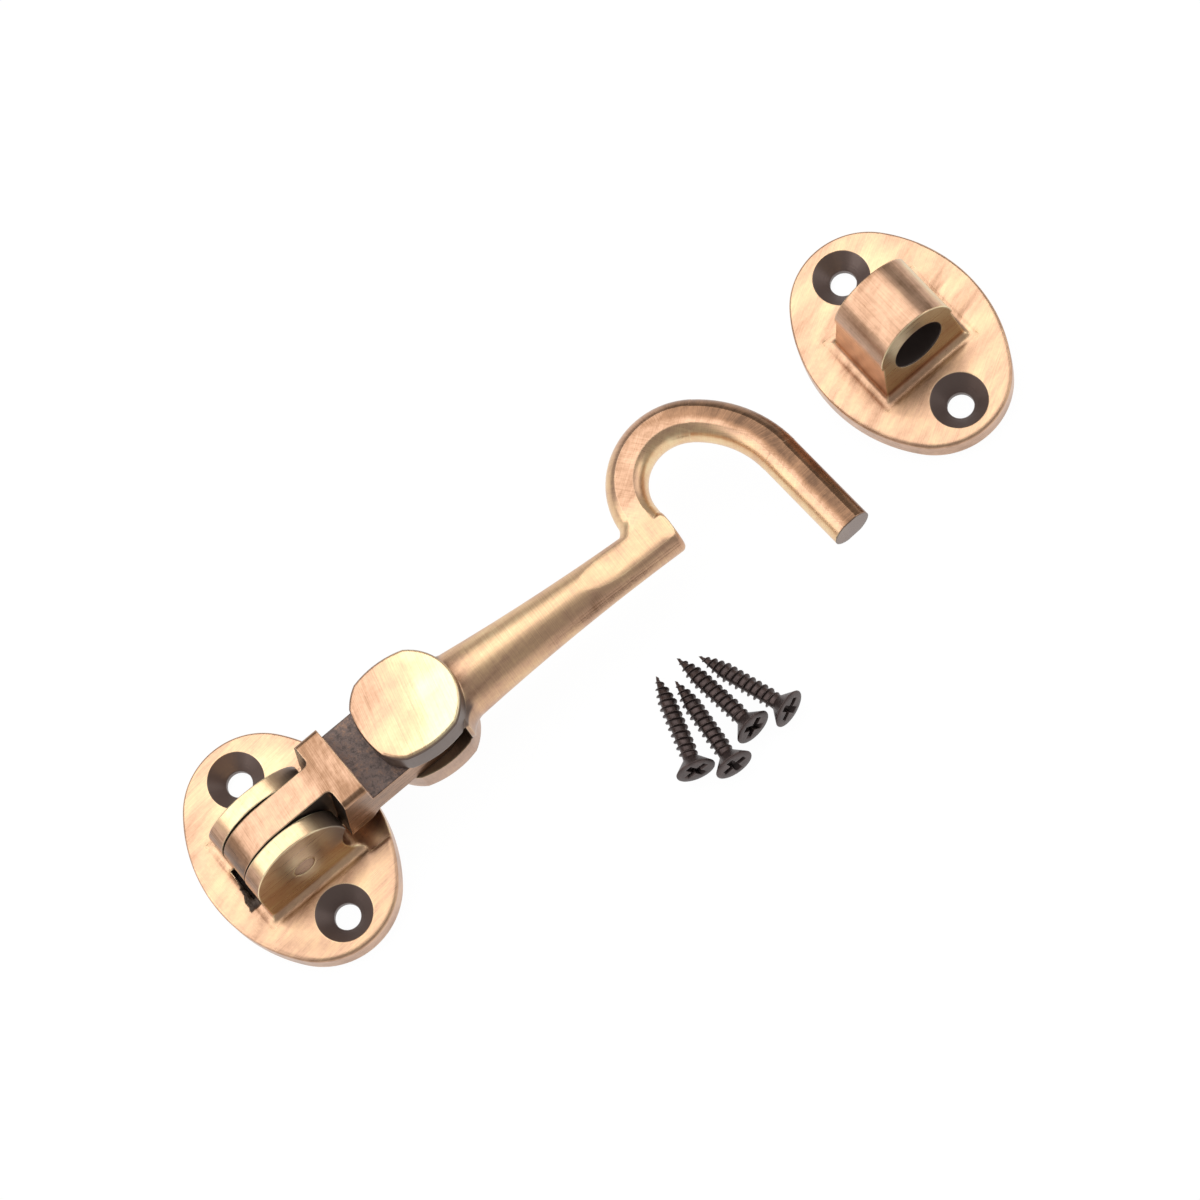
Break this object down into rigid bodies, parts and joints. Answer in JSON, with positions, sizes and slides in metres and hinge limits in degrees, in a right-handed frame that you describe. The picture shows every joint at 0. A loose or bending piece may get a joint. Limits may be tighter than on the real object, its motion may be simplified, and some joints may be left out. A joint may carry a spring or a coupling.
{
  "type": "hook and eye latch",
  "caption": "Brass cabin hook whose arm swings both ways on a forked knuckle hinged to an oval plate, with the matching oval eye plate and countersunk wood screws.",
  "frame": {"origin": "middle of the hook base's flat mounting face", "axes": "+X along the hook's arm towards the eye plate, +Y along the plates' long axis, +Z out of the mounting face"},
  "size_m": [0.1505, 0.0559, 0.02],
  "materials": {
    "brass": "brushed antique brass with a brown tint",
    "dark_steel": "dark bronzed steel"
  },
  "bodies": {
    "base": {"hook_base": "brass", "base_pin": "brass", "eye_plate": "brass", "screw_1": "dark_steel", "screw_2": "dark_steel", "screw_3": "dark_steel", "screw_4": "dark_steel"},
    "knuckle": {"knuckle": "brass"},
    "hook": {"hook_arm": "brass", "hook_pin": "brass"}
  },
  "joints": [
    {"name": "base_pivot", "type": "hinge", "parent": "base", "child": "knuckle", "pos_m": [0, 0, 0.0104], "axis": [0, -1, 0], "range_deg": [0, 155]},
    {"name": "hook_swing", "type": "hinge", "parent": "knuckle", "child": "hook", "pos_m": [0.027, 0, 0.0104], "axis": [0, 0, 1], "range_deg": [-67, 74]}
  ]
}
